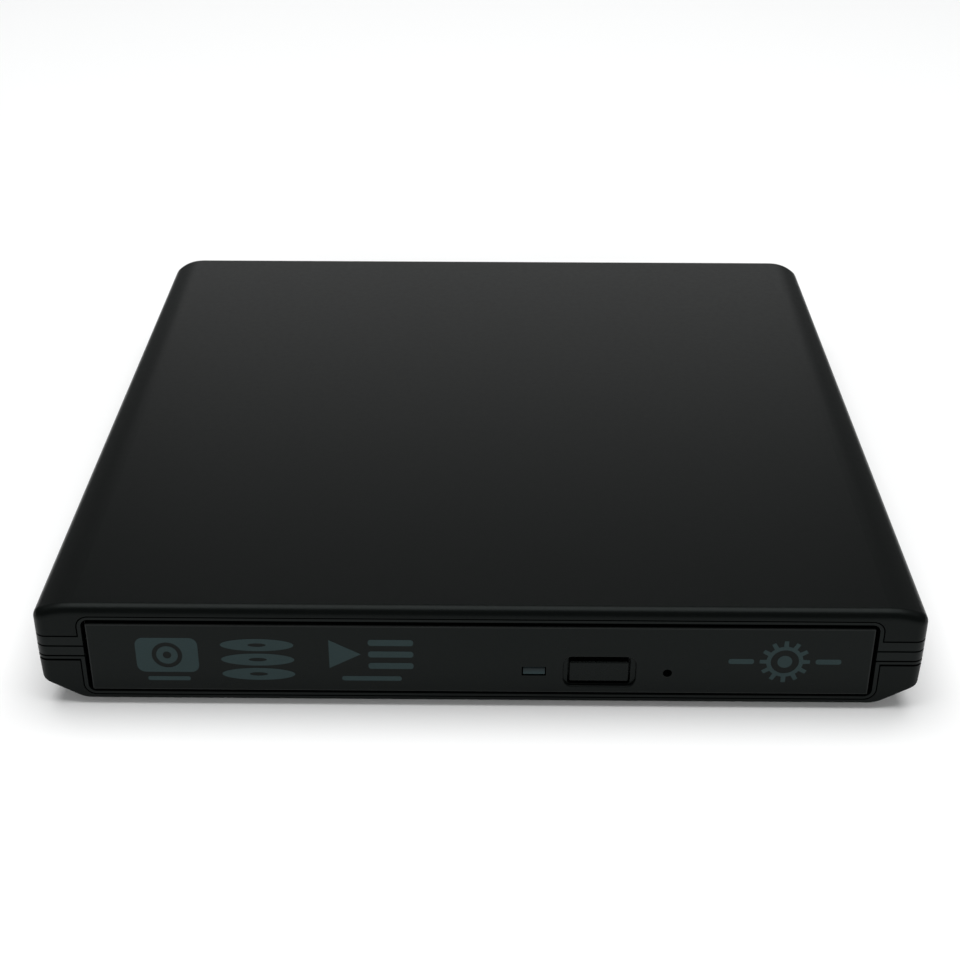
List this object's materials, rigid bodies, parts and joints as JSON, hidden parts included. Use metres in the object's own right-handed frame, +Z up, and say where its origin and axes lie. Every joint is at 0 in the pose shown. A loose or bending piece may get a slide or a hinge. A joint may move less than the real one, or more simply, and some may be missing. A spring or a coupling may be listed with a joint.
{
  "type": "external optical drive",
  "caption": "Flat box for reading discs: two-part plastic case round a tray-load drive whose tray slides out on telescopic rails, with an eject key and a spinning hub.",
  "frame": {"origin": "centre of the footprint, on the surface that the feet stand on", "axes": "+Z up; -Y out of the front, the way the tray slides; +X to the right of a person facing the front"},
  "size_m": [0.145, 0.1454, 0.0193],
  "materials": {
    "case_black": "fine matt texture",
    "frame_black": "smooth satin",
    "foot_rubber": "matt",
    "damper_rubber": "matt",
    "screw_steel": "zinc plated",
    "board_green": "solder mask over glass fibre",
    "chip_black": "moulded epoxy",
    "socket_steel": "tin plated",
    "connector_black": "moulded",
    "sheet_steel": "zinc-coated sheet",
    "holder_black": "moulded",
    "rail_steel": "bright",
    "ejector_grey": "moulded",
    "spring_steel": "bright wire",
    "tray_black": "fine matt texture",
    "bezel_black": "satin",
    "button_black": "satin",
    "lens_pale": "frosted light pipe",
    "flex_amber": "polyimide film",
    "cover_black": "black coated sheet",
    "motor_steel": "turned",
    "hub_black": "moulded",
    "cast_metal": "die cast",
    "holder_dark": "moulded",
    "optic_glass": "coated",
    "screw_bright": "ground",
    "hook_white": "acetal",
    "plunger_iron": "plain",
    "solenoid_wrap": "tape over copper winding",
    "mark_ink": "printed ink",
    "contact_gold": "gold plated contacts"
  },
  "bodies": {
    "enclosure": {"top_cover": "case_black", "bottom_cover": "case_black", "mid_frame": "frame_black", "rubber_feet": "foot_rubber", "case_screws": "screw_steel", "bridge_board": "board_green", "board_screws": "screw_steel", "bridge_parts": "chip_black", "usb_socket": "socket_steel", "power_socket": "connector_black", "drive_socket": "connector_black", "drive_plug": "connector_black", "rear_board": "board_green", "drive_base": "sheet_steel", "drive_lid": "sheet_steel", "latch_post": "rail_steel", "rail_screws": "screw_steel", "rail_holder_right": "holder_black", "rail_holder_left": "holder_black", "ejector_housing": "holder_black", "ejector_spring": "spring_steel", "base_connector": "connector_black"},
    "rail_right": {"rail_right": "rail_steel"},
    "rail_left": {"rail_left": "rail_steel"},
    "ejector": {"ejector_pin": "ejector_grey"},
    "tray": {"tray": "tray_black", "front_bezel": "bezel_black", "led_lens": "lens_pale", "button_spring": "spring_steel", "button_board": "board_green", "eject_switch": "connector_black", "tray_board": "board_green", "tray_chips": "chip_black", "board_connector": "connector_black", "flex_cable": "flex_amber", "tray_shield": "sheet_steel", "traverse_plate": "rail_steel", "rubber_dampers": "damper_rubber", "traverse_screws": "screw_steel", "traverse_cover": "cover_black", "spindle_motor": "motor_steel", "guide_rods": "rail_steel", "rod_clamps": "cast_metal", "screw_bracket": "cast_metal", "sled_motor": "motor_steel", "latch_solenoid": "solenoid_wrap"},
    "eject_button": {"eject_button": "button_black"},
    "spindle": {"spindle_rotor": "motor_steel", "turntable_ring": "damper_rubber", "disc_hub": "hub_black"},
    "pickup": {"pickup_sled": "cast_metal"},
    "lens": {"lens_holder": "holder_dark", "objective_lens": "optic_glass"},
    "lead_screw": {"lead_screw": "screw_bright"},
    "latch": {"latch_hook": "hook_white"},
    "latch_plunger": {"latch_plunger": "plunger_iron"}
  },
  "joints": [
    {"name": "tray_slide", "type": "slide", "parent": "enclosure", "child": "tray", "axis": [0, -1, 0], "range_m": [0, 0.128], "deforming": ["flex_cable"]},
    {"name": "rail_right_slide", "type": "slide", "parent": "enclosure", "child": "rail_right", "axis": [0, -1, 0], "range_m": [0, 0.0645]},
    {"name": "rail_left_slide", "type": "slide", "parent": "enclosure", "child": "rail_left", "axis": [0, -1, 0], "range_m": [0, 0.0645]},
    {"name": "ejector_push", "type": "slide", "parent": "enclosure", "child": "ejector", "axis": [0, -1, 0], "range_m": [0, 0.0081], "deforming": ["ejector_spring"]},
    {"name": "eject_button_press", "type": "slide", "parent": "tray", "child": "eject_button", "axis": [0, 1, 0], "range_m": [0, 0.0008], "stiffness_N_per_m": 600, "deforming": ["button_spring"]},
    {"name": "spindle_spin", "type": "hinge", "parent": "tray", "child": "spindle", "pos_m": [0, -0.0056, 0.0119], "axis": [0, 0, 1], "continuous": true},
    {"name": "pickup_travel", "type": "slide", "parent": "tray", "child": "pickup", "axis": [-0.7071, -0.7071, 0], "range_m": [0, 0.033]},
    {"name": "lead_screw_turn", "type": "hinge", "parent": "tray", "child": "lead_screw", "pos_m": [-0.04101, -0.0155, 0.0075], "axis": [-0.7071, -0.7071, 0], "range_deg": [0, 3965]},
    {"name": "lens_focus", "type": "slide", "parent": "pickup", "child": "lens", "axis": [0, 0, 1], "range_m": [-0.0003, 0.0003], "stiffness_N_per_m": 150},
    {"name": "latch_plunger_slide", "type": "slide", "parent": "tray", "child": "latch_plunger", "axis": [0, -1, 0], "range_m": [0, 0.00143], "stiffness_N_per_m": 60},
    {"name": "latch_swing", "type": "hinge", "parent": "tray", "child": "latch", "pos_m": [0.044, -0.0615, 0.00725], "axis": [0, 0, -1], "range_deg": [0, 10]}
  ],
  "couplings": [
    {"joint": "rail_right_slide", "follows": "tray_slide", "ratio": 0.5},
    {"joint": "rail_left_slide", "follows": "tray_slide", "ratio": 0.5},
    {"joint": "ejector_push", "follows": "tray_slide", "ratio": 0.0625},
    {"joint": "lead_screw_turn", "follows": "pickup_travel", "rad_per_m": 2094.4},
    {"joint": "latch_swing", "follows": "latch_plunger_slide", "rad_per_m": 121.95}
  ]
}
